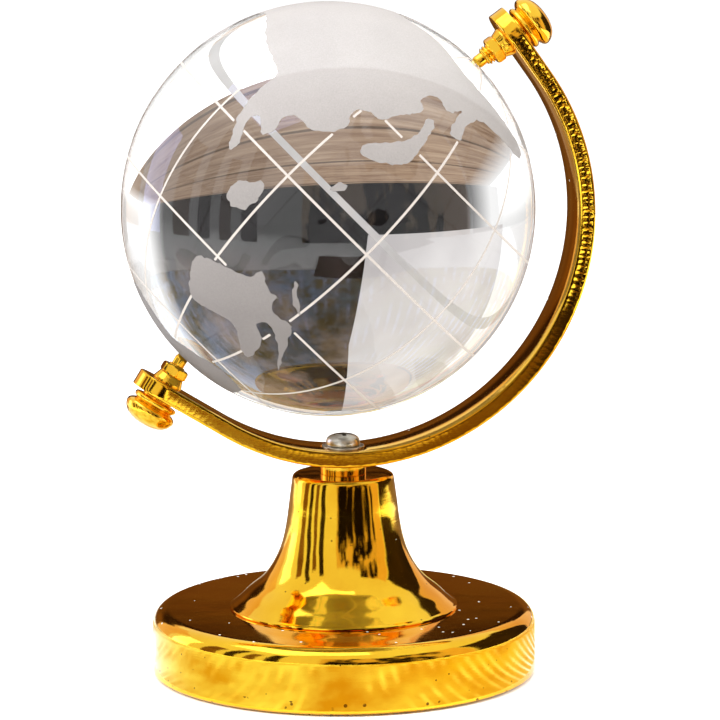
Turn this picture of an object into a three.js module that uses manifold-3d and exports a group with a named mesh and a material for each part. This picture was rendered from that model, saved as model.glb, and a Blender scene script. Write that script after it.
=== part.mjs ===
// Desktop globe: a crystal ball held by two pivot screws in a bent strip bow, on a trumpet pedestal and round base.
// Millimetres, +Z up, origin at the centre of the underside of the base pad. The bow lies in the XZ plane.
import * as THREE from 'three';
import { mergeVertices } from 'three/addons/utils/BufferGeometryUtils.js';
import Module from 'manifold-3d';

const wasm = await Module();
wasm.setup();

// Driving dimensions.
const BALL_RADIUS = 30;
const BALL_X = -2.0;
const BALL_Z = 68.7;
const AXIS_SLOPE = 43.5;
const DIMPLE_RADIUS = 2.2;
const DIMPLE_DEPTH = 1.4;

const BASE_RADIUS = 28.05;
const BASE_TOP = 9.8;
const BASE_EDGE = 2.4;
const BASE_WALL = 1.3;
const BASE_LIFT = 0.3;
const PAD_RADIUS = 26.4;
const PAD_THICKNESS = 1.4;

const PEDESTAL_TOP = 29.7;
const CORE_RADIUS = 5.2;

const BOW_X = 0.7;
const BOW_Z = 67.3;
const BOW_INNER = 33.85;
const BOW_OUTER = 36.15;
const BOW_WIDTH = 8.6;
const BOW_BEVEL = 0.25;
const UPPER_TANGENT = 35;
const LOWER_TANGENT = -122;

const PIN_RADIUS = 1.45;
const PIN_HOLE = 1.55;
const TIP_RADIUS = 0.95;
const TIP_LENGTH = 2.6;
const COLLAR_HEIGHT = 1.4;
const NUT_HEIGHT = 1.4;
const NUT_FLATS = 3.7;
const KNOB_GAP = 0.15;
const KNOB_RADIUS = 3.85;
const KNOB_HEIGHT = 4.4;

const SPACER_RADIUS = 3.4;
const SCREW_RADIUS = 1.45;
const SCREW_HEAD = 2.5;

const GOLD = 0xd9a520;
const GOLD_DARK = 0xc08d18;
const STEEL = 0xb9bcc0;
const BRASS = 0xb08d3c;
const IRON = 0x55565a;
const FELT = 0x2b2b2d;
const CRYSTAL = 0xdfe7ea;
const NYLON = 0xe9e4d2;

const rad = (deg) => (deg * Math.PI) / 180;
const UP = new THREE.Vector3(0, 0, 1);

// A turned solid about +Z from [radius, height] pairs that close on themselves or start and end on the axis.
function turned(pairs, segments = 48) {
  const points = pairs.map(([r, z]) => new THREE.Vector2(r, z));
  const geometry = new THREE.LatheGeometry(points, segments);
  geometry.rotateX(Math.PI / 2);
  return geometry;
}

// A solid that lies along +Z, laid along a direction from a start point.
function laid(geometry, start, direction) {
  const turn = new THREE.Quaternion().setFromUnitVectors(UP, direction);
  geometry.applyQuaternion(turn);
  geometry.translate(start.x, start.y, start.z);
  return geometry;
}

function toManifold(geometry) {
  const plain = geometry.clone();
  plain.deleteAttribute('normal');
  plain.deleteAttribute('uv');
  const merged = mergeVertices(plain, 1e-4);
  const mesh = new wasm.Mesh({
    numProp: 3,
    vertProperties: new Float32Array(merged.attributes.position.array),
    triVerts: new Uint32Array(merged.index.array),
  });
  return new wasm.Manifold(mesh);
}

function fromManifold(solid) {
  const mesh = solid.getMesh();
  const geometry = new THREE.BufferGeometry();
  geometry.setAttribute('position', new THREE.BufferAttribute(new Float32Array(mesh.vertProperties), 3));
  geometry.setIndex(new THREE.BufferAttribute(new Uint32Array(mesh.triVerts), 1));
  geometry.computeVertexNormals();
  return geometry;
}

function rod(radius, length, segments = 24) {
  return turned([[0, 0], [radius, 0], [radius, length], [0, length]], segments);
}

const part = new THREE.Group();
part.name = 'desktop_globe';

function add(name, geometry, color, metalness = 0.9, roughness = 0.3) {
  const material = new THREE.MeshStandardMaterial({ color, metalness, roughness });
  const mesh = new THREE.Mesh(geometry, material);
  mesh.name = name;
  part.add(mesh);
}

// Points of a quarter round in a turned profile, from the outside wall to the top face.
function roundedEdge(radius, top, edge, steps = 4) {
  const pairs = [];
  for (let i = 0; i <= steps; i += 1) {
    const angle = rad((90 * i) / steps);
    pairs.push([radius - edge + edge * Math.cos(angle), top - edge + edge * Math.sin(angle)]);
  }
  return pairs;
}

// Base: felt pad let into a hollow round shell, a ballast disc above it, and the screw that draws it all together.
add('base_pad', turned([[0, 0], [PAD_RADIUS - 0.3, 0], [PAD_RADIUS, 0.3], [PAD_RADIUS, PAD_THICKNESS],
  [0, PAD_THICKNESS]], 48), FELT, 0, 0.95);

const shellInner = BASE_RADIUS - BASE_WALL;
const shellCeiling = BASE_TOP - BASE_WALL;
add('base_shell', turned([
  [shellInner, BASE_LIFT],
  [BASE_RADIUS - 0.5, BASE_LIFT],
  [BASE_RADIUS - 0.12, BASE_LIFT + 0.2],
  [BASE_RADIUS, BASE_LIFT + 0.7],
  ...roundedEdge(BASE_RADIUS, BASE_TOP, BASE_EDGE),
  [2.7, BASE_TOP],
  [2.7, shellCeiling],
  [shellInner - 1.2, shellCeiling],
  [shellInner, shellCeiling - 1.2],
  [shellInner, BASE_LIFT],
], 56), GOLD, 1, 0.15);

const washerSeat = 5.8;
const washerThickness = 0.8;
const weightRadius = shellInner - 0.3;
add('base_weight', turned([
  [6.2, PAD_THICKNESS],
  [weightRadius, PAD_THICKNESS],
  [weightRadius, shellCeiling - 1.5],
  [weightRadius - 1.5, shellCeiling],
  [2.8, shellCeiling],
  [2.8, washerSeat],
  [6.2, washerSeat],
  [6.2, PAD_THICKNESS],
], 40), IRON, 0.6, 0.7);

add('base_screw_washer', turned([
  [2.65, washerSeat - washerThickness],
  [5.0, washerSeat - washerThickness],
  [5.0, washerSeat],
  [2.65, washerSeat],
  [2.65, washerSeat - washerThickness],
], 24), STEEL, 1, 0.35);

const headTop = washerSeat - washerThickness;
const baseScrewBlank = turned([
  [0, headTop - 2.8],
  [2.6, headTop - 2.8],
  [3.8, headTop - 2.2],
  [4.2, headTop - 1.2],
  [4.2, headTop],
  [2.45, headTop],
  [2.45, 17.0],
  [2.0, 17.6],
  [0, 17.6],
], 24);
const crossLong = new THREE.BoxGeometry(4.2, 0.9, 2.6).translate(0, 0, headTop - 2.8);
const crossWide = new THREE.BoxGeometry(0.9, 4.2, 2.6).translate(0, 0, headTop - 2.8);
const baseScrew = toManifold(baseScrewBlank).subtract(toManifold(crossLong)).subtract(toManifold(crossWide));
add('base_screw', fromManifold(baseScrew), STEEL, 1, 0.35);

// Pedestal: a hollow trumpet shell standing on the base over a threaded core.
const trumpet = [
  [16.5, 9.8], [16.65, 10.05], [16.3, 10.4], [14.05, 12.3], [12.2, 13.8], [10.95, 15.3], [10.0, 16.9],
  [9.15, 18.9], [8.55, 21.2], [8.15, 23.6], [7.5, 28.6], [7.38, 29.1], [7.1, 29.5], [6.7, 29.7],
];
const hollow = [
  [6.2, 28.0], [6.75, 23.4], [7.3, 20.6], [8.6, 17.2], [10.6, 14.1], [15.1, 9.8],
];
add('pedestal_shell', turned([
  ...trumpet,
  [1.6, PEDESTAL_TOP],
  [1.6, 28.0],
  ...hollow,
  trumpet[0],
], 52), GOLD, 1, 0.12);

const coreTop = 28.0;
add('pedestal_core', turned([
  [2.55, BASE_TOP],
  [CORE_RADIUS + 1.6, BASE_TOP],
  [CORE_RADIUS + 1.6, BASE_TOP + 1.5],
  [CORE_RADIUS, BASE_TOP + 2.5],
  [CORE_RADIUS, coreTop],
  [1.5, coreTop],
  [1.5, 19.5],
  [2.55, 18.6],
  [2.55, BASE_TOP],
], 28), BRASS, 0.9, 0.4);

// Bow: a flat strip bent round the ball, straight and rounded at both ends.
const radial = (deg) => new THREE.Vector3(Math.cos(rad(deg)), 0, Math.sin(rad(deg)));
const bowCentre = new THREE.Vector3(BOW_X, 0, BOW_Z);
const ballCentre = new THREE.Vector3(BALL_X, 0, BALL_Z);
const axis = radial(AXIS_SLOPE);
const pivotReach = BALL_RADIUS - DIMPLE_DEPTH + 0.3;

// One pivot: the strip normal there, how far along the straight end it stands, and its reach from the bow centre.
function pivot(tangentDeg, side) {
  const outward = radial(tangentDeg);
  const along = new THREE.Vector3(-Math.sin(rad(tangentDeg)), 0, Math.cos(rad(tangentDeg))).multiplyScalar(side);
  const point = ballCentre.clone().addScaledVector(axis, side * pivotReach);
  const fromBow = point.clone().sub(bowCentre);
  return { outward, along, point, run: fromBow.dot(along), reach: fromBow.dot(outward) };
}
const upper = pivot(UPPER_TANGENT, 1);
const lower = pivot(LOWER_TANGENT, -1);

function atPivot(end, reach) {
  return bowCentre.clone().addScaledVector(end.along, end.run).addScaledVector(end.outward, reach);
}

// Stations along the strip: centre offset from the bow centre and the outward normal.
const stations = [];
const runSteps = 3;
const arcSteps = 44;
for (let i = 0; i < runSteps; i += 1) {
  stations.push({ shift: lower.along.clone().multiplyScalar(lower.run * (1 - i / runSteps)), outward: lower.outward });
}
for (let i = 0; i <= arcSteps; i += 1) {
  const deg = LOWER_TANGENT + ((UPPER_TANGENT - LOWER_TANGENT) * i) / arcSteps;
  stations.push({ shift: new THREE.Vector3(), outward: radial(deg) });
}
for (let i = 1; i <= runSteps; i += 1) {
  stations.push({ shift: upper.along.clone().multiplyScalar((upper.run * i) / runSteps), outward: upper.outward });
}

const half = BOW_WIDTH / 2;
const section = [
  [BOW_INNER + BOW_BEVEL, half], [BOW_INNER, half - BOW_BEVEL], [BOW_INNER, -half + BOW_BEVEL],
  [BOW_INNER + BOW_BEVEL, -half], [BOW_OUTER - BOW_BEVEL, -half], [BOW_OUTER, -half + BOW_BEVEL],
  [BOW_OUTER, half - BOW_BEVEL], [BOW_OUTER - BOW_BEVEL, half],
];
const positions = [];
const triangles = [];
for (const { shift, outward } of stations) {
  for (const [reach, y] of section) {
    const p = bowCentre.clone().add(shift).addScaledVector(outward, reach);
    positions.push(p.x, y, p.z);
  }
}
const n = section.length;
for (let i = 0; i < stations.length - 1; i += 1) {
  for (let j = 0; j < n; j += 1) {
    const a = i * n + j;
    const b = i * n + ((j + 1) % n);
    triangles.push(a, b, b + n, a, b + n, a + n);
  }
}
const last = (stations.length - 1) * n;
for (let j = 1; j < n - 1; j += 1) {
  triangles.push(0, j + 1, j);
  triangles.push(last, last + j, last + j + 1);
}
const strip = new THREE.BufferGeometry();
strip.setAttribute('position', new THREE.Float32BufferAttribute(positions, 3));
strip.setIndex(triangles);

function endDisc(end) {
  const disc = turned([
    [0, 0], [half - BOW_BEVEL, 0], [half, BOW_BEVEL], [half, BOW_OUTER - BOW_INNER - BOW_BEVEL],
    [half - BOW_BEVEL, BOW_OUTER - BOW_INNER], [0, BOW_OUTER - BOW_INNER],
  ], 28);
  return laid(disc, atPivot(end, BOW_INNER), end.outward);
}
const screwSeat = BOW_Z - BOW_INNER - 0.05;
const washerGauge = 0.4;
let bow = toManifold(strip).add(toManifold(endDisc(upper))).add(toManifold(endDisc(lower)));
for (const end of [upper, lower]) {
  bow = bow.subtract(toManifold(laid(rod(PIN_HOLE, 8), atPivot(end, BOW_INNER - 3), end.outward)));
}
bow = bow.subtract(toManifold(rod(1.6, 8).translate(0, 0, screwSeat - 5)));
bow = bow.subtract(toManifold(rod(3.3, 3, 28).translate(0, 0, screwSeat)));
add('bow_arm', fromManifold(bow), GOLD, 1, 0.2);

// Saddle spacer between pedestal and bow, with the pan-head screw and washer that hold the bow down.
const bowDrum = new THREE.CylinderGeometry(BOW_OUTER + 0.02, BOW_OUTER + 0.02, 20, 180);
bowDrum.translate(BOW_X, 0, BOW_Z);
const spacerBlank = turned([
  [1.6, PEDESTAL_TOP],
  [SPACER_RADIUS, PEDESTAL_TOP],
  [SPACER_RADIUS, PEDESTAL_TOP + 2.2],
  [1.6, PEDESTAL_TOP + 2.2],
  [1.6, PEDESTAL_TOP],
], 28);
add('bow_spacer', fromManifold(toManifold(spacerBlank).subtract(toManifold(bowDrum))), GOLD_DARK, 1, 0.2);

add('bow_screw_washer', turned([
  [1.6, screwSeat], [3.1, screwSeat], [3.1, screwSeat + washerGauge], [1.6, screwSeat + washerGauge],
  [1.6, screwSeat],
], 24), STEEL, 1, 0.3);

const headSeat = screwSeat + washerGauge;
const bowScrewBlank = turned([
  [0, 22.6],
  [1.1, 22.6],
  [SCREW_RADIUS, 23.0],
  [SCREW_RADIUS, headSeat],
  [SCREW_HEAD, headSeat],
  [SCREW_HEAD, headSeat + 0.7],
  [2.3, headSeat + 1.15],
  [1.8, headSeat + 1.5],
  [1.0, headSeat + 1.7],
  [0, headSeat + 1.75],
], 24);
const slotLong = new THREE.BoxGeometry(2.8, 0.6, 1.6).translate(0, 0, headSeat + 1.7);
const slotWide = new THREE.BoxGeometry(0.6, 2.8, 1.6).translate(0, 0, headSeat + 1.7);
const bowScrew = toManifold(bowScrewBlank).subtract(toManifold(slotLong)).subtract(toManifold(slotWide));
add('bow_screw', fromManifold(bowScrew), STEEL, 1, 0.3);

// Ball: solid crystal turned about its own axis, with a conical dimple at each pole.
const ballProfile = [];
const ballSteps = 28;
const mouth = Math.asin(DIMPLE_RADIUS / BALL_RADIUS);
ballProfile.push([0, -BALL_RADIUS + DIMPLE_DEPTH]);
for (let i = 0; i <= ballSteps; i += 1) {
  const angle = mouth + ((Math.PI - 2 * mouth) * i) / ballSteps;
  ballProfile.push([BALL_RADIUS * Math.sin(angle), -BALL_RADIUS * Math.cos(angle)]);
}
ballProfile.push([0, BALL_RADIUS - DIMPLE_DEPTH]);
add('crystal_ball', laid(turned(ballProfile, 52), ballCentre, axis), CRYSTAL, 0, 0.02);

// Pivot screws: cone collar and hex nut fast on the strip; swivel tip, rod and knob travel.
function hexNut() {
  const hex = new THREE.CylinderGeometry(NUT_FLATS / Math.sqrt(3), NUT_FLATS / Math.sqrt(3), NUT_HEIGHT, 6);
  hex.rotateX(Math.PI / 2);
  hex.translate(0, 0, NUT_HEIGHT / 2);
  const chamfer = turned([
    [0, -0.01], [NUT_FLATS / 2 - 0.05, -0.01], [NUT_FLATS / 2 + 0.35, 0.3], [NUT_FLATS / 2 + 0.35, NUT_HEIGHT - 0.3],
    [NUT_FLATS / 2 - 0.05, NUT_HEIGHT + 0.01], [0, NUT_HEIGHT + 0.01],
  ], 24);
  const bore = rod(PIN_HOLE, 4).translate(0, 0, -1);
  return fromManifold(toManifold(hex).intersect(toManifold(chamfer)).subtract(toManifold(bore)));
}

function pivotParts(prefix, end) {
  const tipBack = end.reach + TIP_LENGTH;
  const nutTop = BOW_INNER - COLLAR_HEIGHT;
  const rodEnd = BOW_OUTER + KNOB_GAP + 2.9;
  add(`${prefix}_cone_collar`, laid(turned([
    [PIN_HOLE, 0], [1.85, 0], [2.25, COLLAR_HEIGHT - 0.35], [2.25, COLLAR_HEIGHT], [PIN_HOLE, COLLAR_HEIGHT],
    [PIN_HOLE, 0],
  ], 24), atPivot(end, nutTop), end.outward), GOLD_DARK, 1, 0.25);
  add(`${prefix}_lock_nut`, laid(hexNut(), atPivot(end, nutTop - NUT_HEIGHT), end.outward), GOLD, 1, 0.25);
  add(`${prefix}_pivot_tip`, laid(turned([
    [0, 0], [0.3, 0.06], [0.5, 0.28], [TIP_RADIUS, 1.5], [TIP_RADIUS, TIP_LENGTH], [0, TIP_LENGTH],
  ], 16), atPivot(end, end.reach), end.outward), NYLON, 0, 0.5);
  add(`${prefix}_pivot_rod`, laid(turned([
    [0, tipBack], [1.15, tipBack], [PIN_RADIUS, tipBack + 0.35], [PIN_RADIUS, rodEnd], [0, rodEnd],
  ], 20), atPivot(end, 0), end.outward), GOLD, 1, 0.25);
  const foot = BOW_OUTER + KNOB_GAP;
  const bore = PIN_RADIUS + 0.02;
  add(`${prefix}_knob`, laid(turned([
    [bore, foot], [2.3, foot], [2.3, foot + 0.3], [3.2, foot + 0.4], [3.35, foot + 0.7], [3.2, foot + 1.1],
    [2.75, foot + 1.3], [3.75, foot + 1.85], [KNOB_RADIUS, foot + 2.3], [3.6, foot + 3.0], [3.05, foot + 3.65],
    [1.9, foot + 4.2], [0, foot + KNOB_HEIGHT], [0, rodEnd + 0.05], [bore, rodEnd + 0.05], [bore, foot],
  ], 28), atPivot(end, 0), end.outward), GOLD, 1, 0.15);
}
pivotParts('upper', upper);
pivotParts('lower', lower);

export default part;
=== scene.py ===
"""Looks for the desktop crystal globe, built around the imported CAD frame. Metres, row frame."""

import math

import bmesh
import bpy
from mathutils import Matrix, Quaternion, Vector, noise
from mathutils.geometry import delaunay_2d_cdt


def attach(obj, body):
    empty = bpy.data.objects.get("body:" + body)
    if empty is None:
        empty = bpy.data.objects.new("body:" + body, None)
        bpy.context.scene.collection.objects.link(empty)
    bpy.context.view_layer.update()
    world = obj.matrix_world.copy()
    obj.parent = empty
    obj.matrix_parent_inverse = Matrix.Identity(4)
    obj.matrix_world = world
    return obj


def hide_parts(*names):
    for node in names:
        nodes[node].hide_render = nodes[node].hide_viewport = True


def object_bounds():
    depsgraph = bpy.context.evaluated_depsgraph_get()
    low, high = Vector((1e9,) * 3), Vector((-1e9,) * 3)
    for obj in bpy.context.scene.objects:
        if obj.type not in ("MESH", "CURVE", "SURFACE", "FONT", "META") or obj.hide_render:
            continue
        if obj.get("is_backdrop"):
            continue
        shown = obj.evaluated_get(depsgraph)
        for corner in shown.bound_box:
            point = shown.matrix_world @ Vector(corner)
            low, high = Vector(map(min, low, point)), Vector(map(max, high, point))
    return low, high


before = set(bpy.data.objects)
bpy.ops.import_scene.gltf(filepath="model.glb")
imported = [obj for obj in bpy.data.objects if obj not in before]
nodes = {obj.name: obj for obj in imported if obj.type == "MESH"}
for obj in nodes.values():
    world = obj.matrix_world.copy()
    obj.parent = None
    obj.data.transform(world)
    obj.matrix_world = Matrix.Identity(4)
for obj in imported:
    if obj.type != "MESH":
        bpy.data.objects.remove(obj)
cad_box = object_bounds()
MM = 0.001

# The camera: places in metres, roll in degrees, lens in millimetres.
CAMERA_AT = Vector((-0.1442, -0.7227, 0.1827))
CAMERA_AIM = Vector((0.0026, 0.0, 0.0463))
CAMERA_ROLL = -0.25
CAMERA_LENS = 257.4

# Sizes shared with the CAD part, in millimetres and degrees.
BALL_RADIUS = 30.0
BALL_CENTRE = Vector((-2.0, 0.0, 68.7))
AXIS_SLOPE = 43.5
DIMPLE_RADIUS = 2.2
DIMPLE_DEPTH = 1.4
BOW_CENTRE = Vector((0.7, 0.0, 67.3))
BOW_INNER = 33.85
BOW_OUTER = 36.15
BOW_WIDTH = 8.6
UPPER_TANGENT = 35.0
LOWER_TANGENT = -122.0
PIVOT_REACH = BALL_RADIUS - DIMPLE_DEPTH + 0.3
PIN_RADIUS = 1.45
PIN_HOLE = 1.55
ROD_INTO_KNOB = 2.9
THREAD_PITCH = 0.5
THREAD_DEPTH = 0.27
TIP_RADIUS = 0.95
TIP_LENGTH = 2.6
COLLAR_HEIGHT = 1.4
NUT_HEIGHT = 1.4
NUT_FLATS = 3.7
KNOB_GAP = 0.15
KNOB_RADIUS = 3.85
KNOB_HEIGHT = 4.4
BASE_RADIUS = 28.05
BASE_TOP = 9.8
BASE_ROUND = 2.4
BASE_ROUND_STEPS = 19
BASE_GAUGE = 1.3
BASE_BORE = 2.7
SKIRT_BORE = 26.75
PEDESTAL_TOP = 29.7
SPACER_RADIUS = 3.4
SPACER_HEIGHT = 2.2
SCREW_HOLE = 1.6
SCREW_SEAT = BOW_CENTRE.z - BOW_INNER - 0.05
WASHER_RADIUS = 3.1
WASHER_GAUGE = 0.4
HEAD_SEAT = SCREW_SEAT + WASHER_GAUGE

# Fine detail on the bow, in millimetres.
HALF = BOW_WIDTH / 2
BOW_STEP = 0.16
BOW_MIDDLE = (BOW_INNER + BOW_OUTER) / 2
BEVEL = 0.24
CUT_IN = 0.42
CHATTER_DEPTH = 0.07

# The frosted coat and the map lines on the ball: millimetres from its surface, degrees and width.
COAT_GAP = 0.012
COAT_LIFT = 0.045
COAT_SPACING = 2.0
LINE_WIDTH = 0.36
LINE_GAP = 0.004
PARALLEL_LIFT = 0.02
MERIDIAN_LIFT = 0.024
FIRST_MERIDIAN = 2
MAP_LEAN = 3.3

# The small bays of the coasts come from noise_vector, which differs in each run unless it is seeded.
COAST_SEED = 7
noise.seed_set(COAST_SEED)

# Mesh detail.
SHARP_ANGLE = 32.0
UP = Vector((0, 0, 1))
ORIGIN = Vector((0, 0, 0))

# The base's dust lies above this height and its worn rim below the other, in metres.
DUST_ABOVE = 0.0085
WORN_BELOW = 0.0022

# Stage distances, in millimetres.
ROOM_DEPTH = 300
ROOM_SPLIT = 170
SHELF_NEAR = 112
SHELF_HEIGHT = 0.6
PAPER_NEAR = 29.5
PAPER_FAR = 170
PAPER_HEIGHT = 0.25


def radial(deg):
    """The direction in the bow's plane at this angle from +X towards +Z."""
    return Vector((math.cos(math.radians(deg)), 0.0, math.sin(math.radians(deg))))


# ---------------------------------------------------------------- materials


def add_object(name, data):
    """A new object in the scene."""
    obj = bpy.data.objects.new(name, data)
    bpy.context.scene.collection.objects.link(obj)
    return obj


class Nodes:
    """A material's node tree with short calls to add and join nodes."""

    def __init__(self, name):
        self.material = bpy.data.materials.new(name)
        self.material.use_nodes = True
        self.tree = self.material.node_tree
        self.tree.nodes.clear()
        self.output = self.tree.nodes.new("ShaderNodeOutputMaterial")
        self.coord = self.tree.nodes.new("ShaderNodeTexCoord").outputs["Object"]

    def add(self, kind, inputs=None, **settings):
        node = self.tree.nodes.new(kind)
        for key, value in settings.items():
            setattr(node, key, value)
        for key, value in (inputs or {}).items():
            socket = node.inputs[key]
            if isinstance(value, bpy.types.NodeSocket):
                self.tree.links.new(value, socket)
            else:
                socket.default_value = value
        return node

    def noise(self, scale, detail=4.0, rough=0.55, stretch=(1, 1, 1)):
        mapped = self.add("ShaderNodeMapping", {"Vector": self.coord, "Scale": stretch}).outputs[0]
        inputs = {"Vector": mapped, "Scale": scale, "Detail": detail, "Roughness": rough}
        return self.add("ShaderNodeTexNoise", inputs).outputs["Fac"]

    def ramp(self, value, low, high, to_low=0.0, to_high=1.0):
        inputs = {"Value": value, "From Min": low, "From Max": high, "To Min": to_low, "To Max": to_high}
        return self.add("ShaderNodeMapRange", inputs).outputs["Result"]

    def math(self, operation, a, b=0.0):
        return self.add("ShaderNodeMath", {0: a, 1: b}, operation=operation).outputs[0]

    def mix(self, factor, a, b):
        return self.add("ShaderNodeMix", {0: factor, 6: a, 7: b}, data_type="RGBA").outputs[2]

    def xyz(self):
        """The x, y and z of the point on the object, in metres."""
        return self.add("ShaderNodeSeparateXYZ", {0: self.coord}).outputs

    def specks(self, scale, size, share):
        """Small dots: the middle of a share of the cells of a random cell pattern."""
        cell = self.add("ShaderNodeTexVoronoi", {"Vector": self.coord, "Scale": scale})
        near = self.math("LESS_THAN", cell.outputs["Distance"], size)
        pick = self.add("ShaderNodeSeparateColor", {0: cell.outputs["Color"]}).outputs[0]
        return self.math("MULTIPLY", near, self.math("LESS_THAN", pick, share))

    def bump(self, height, strength, distance):
        inputs = {"Height": height, "Strength": strength, "Distance": distance}
        return self.add("ShaderNodeBump", inputs).outputs["Normal"]

    def shade(self, **inputs):
        names = {key.replace("_", " "): value for key, value in inputs.items()}
        shader = self.add("ShaderNodeBsdfPrincipled", names)
        self.tree.links.new(shader.outputs[0], self.output.inputs[0])
        return self.material


def gold(name, tint, rough, dust_share=0.0, scratch=0.06, mottle=0.35, wave=4.0, on_base=False):
    """Bright gold plating with uneven polish, scratches, pits and dust, and a worn lower rim on the base."""
    n = Nodes(name)
    cloud = n.noise(90, 5)
    fine = n.noise(900, 3)
    hair = n.noise(260, 6, 0.7, (1, 1, 14))
    deep = tuple(c * k for c, k in zip(tint, (0.86, 0.74, 0.6))) + (1,)
    colour = n.mix(n.ramp(cloud, 0.35, 0.7), deep, tint + (1,))
    above_table = n.xyz()[2]
    dusty = n.math("GREATER_THAN", above_table, DUST_ABOVE if on_base else 0.0)
    dust = n.math("MULTIPLY", n.specks(760, 0.15, dust_share), dusty)
    pits = n.specks(1500, 0.2, 0.03)
    if on_base:
        worn = n.math("MULTIPLY", n.specks(1100, 0.3, 0.4), n.ramp(n.noise(180, 3), 0.5, 0.52))
        low_rim = n.math("LESS_THAN", above_table, WORN_BELOW)
        pits = n.math("MAXIMUM", pits, n.math("MULTIPLY", worn, low_rim))
    colour = n.mix(pits, colour, (0.25, 0.12, 0.01, 1))
    colour = n.mix(dust, colour, (0.86, 0.82, 0.72, 1))
    metal = n.math("SUBTRACT", 1.0, dust)
    polish = n.ramp(cloud, 0.3, 0.75, rough, rough + 0.07)
    roughness = n.math("ADD", polish, n.math("MULTIPLY", dust, 0.6))
    height = n.math("ADD", n.math("MULTIPLY", fine, mottle), n.math("MULTIPLY", hair, 0.5))
    height = n.math("SUBTRACT", height, pits)
    height = n.math("ADD", height, n.math("MULTIPLY", n.noise(120, 2, 0.4), wave))
    normal = n.bump(height, scratch, 0.00012)
    return n.shade(Base_Color=colour, Metallic=metal, Roughness=roughness, Normal=normal)


def plain_metal(name, tint, rough, stretch=(1, 1, 1)):
    """Turned or plated metal with fine tool marks and a little staining."""
    n = Nodes(name)
    cloud = n.noise(160, 5)
    marks = n.noise(700, 4, 0.6, stretch)
    dark = tuple(c * 0.62 for c in tint) + (1,)
    colour = n.mix(n.ramp(cloud, 0.3, 0.72), dark, tint + (1,))
    roughness = n.ramp(cloud, 0.25, 0.75, rough, rough + 0.18)
    normal = n.bump(marks, 0.18, 0.0001)
    return n.shade(Base_Color=colour, Metallic=1.0, Roughness=roughness, Normal=normal)


def crystal_material():
    """Clear optical glass with a few faintly hazy patches."""
    n = Nodes("crystal_clear")
    haze = n.ramp(n.noise(60, 3), 0.62, 0.8, 0.0, 0.02)
    return n.shade(Base_Color=(0.992, 0.99, 0.987, 1), Roughness=haze, IOR=1.52, Transmission_Weight=1.0)


def frost_material(name, tint, rough, grain, cover=1.0, low_shade_tint=None):
    """Sand-blasted glass seen from outside: a milky, grainy coat whose tint turns to a darker tint of painted
    shade low on the ball, where less light falls.
    """
    n = Nodes(name)
    blast = n.noise(grain, 6, 0.7)
    cloud = n.noise(70, 4)
    # Painted shade: the coat's tint darkens towards the second tint low on the ball, where less light falls.
    shaded_tint = n.mix(n.ramp(n.xyz()[2], 0.058, 0.092), (low_shade_tint or tint) + (1,), tint + (1,))
    shade = n.math("ADD", n.ramp(cloud, 0.3, 0.7, 0.5, 0.44), n.ramp(blast, 0.3, 0.75, -0.06, 0.06))
    value = n.math("MULTIPLY", shade, 2.1)
    colour = n.add("ShaderNodeHueSaturation", {"Value": value, "Color": shaded_tint}).outputs[0]
    normal = n.bump(blast, 0.5, 0.00008)
    return n.shade(Base_Color=colour, Roughness=rough, IOR=1.45, Alpha=cover, Normal=normal)


def coat_back_material():
    """The coat seen from inside the ball, with a painted glow: emission standing in for the light that falls on
    it from outside.
    """
    n = Nodes("coat_from_inside_painted_glow")
    cloud = n.noise(150, 5, 0.65)
    glow = n.mix(n.ramp(cloud, 0.3, 0.7), (0.36, 0.34, 0.33, 1), (0.52, 0.5, 0.49, 1))
    return n.shade(
        Base_Color=(0.3, 0.3, 0.3, 1), Roughness=0.9, Emission_Color=glow, Emission_Strength=1.0
    )


def felt_material():
    """Dark pressed felt with a few paler fibres."""
    n = Nodes("pressed_felt")
    fibre = n.noise(2600, 8, 0.8, (1, 1, 0.3))
    cloud = n.noise(240, 5)
    colour = n.mix(n.ramp(cloud, 0.3, 0.7), (0.012, 0.012, 0.013, 1), (0.03, 0.03, 0.033, 1))
    colour = n.mix(n.ramp(fibre, 0.62, 0.8), colour, (0.09, 0.09, 0.1, 1))
    normal = n.bump(fibre, 0.9, 0.0004)
    return n.shade(
        Base_Color=colour, Roughness=0.95, Sheen_Weight=0.4, Sheen_Roughness=0.5, Normal=normal
    )


GOLD_TINT = (1.0, 0.62, 0.035)
mat_base = gold(
    "gold_plate_base", GOLD_TINT, 0.045, dust_share=0.12, scratch=0.10, mottle=0.5, on_base=True
)
mat_pedestal = gold(
    "gold_plate_pedestal", GOLD_TINT, 0.04, dust_share=0.008, scratch=0.08, mottle=0.5, wave=26.0
)
mat_bow = gold("gold_plate_bow", (1.0, 0.61, 0.04), 0.06, dust_share=0.03, scratch=0.08)
mat_turned = gold("gold_turned", (1.0, 0.62, 0.05), 0.07, scratch=0.16)
mat_steel = plain_metal("nickel_steel", (0.80, 0.76, 0.66), 0.2)
mat_core = plain_metal("core_brass", (0.78, 0.58, 0.26), 0.3, (1, 1, 9))
mat_iron = plain_metal("cast_iron", (0.16, 0.16, 0.17), 0.55)
mat_crystal = crystal_material()
# The land's second tint is painted shade for the land low on the ball.
mat_land = frost_material(
    "sand_blasted_land", (0.36, 0.337, 0.32), 0.7, 5200, 0.78, (0.205, 0.185, 0.175)
)
mat_line = frost_material("cut_line", (0.46, 0.415, 0.375), 0.7, 8000)
mat_ground = frost_material("ground_dimple", (0.6, 0.6, 0.58), 0.6, 6000)
mat_coat_back = coat_back_material()
mat_felt = felt_material()

# ---------------------------------------------------------------- mesh helpers


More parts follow.
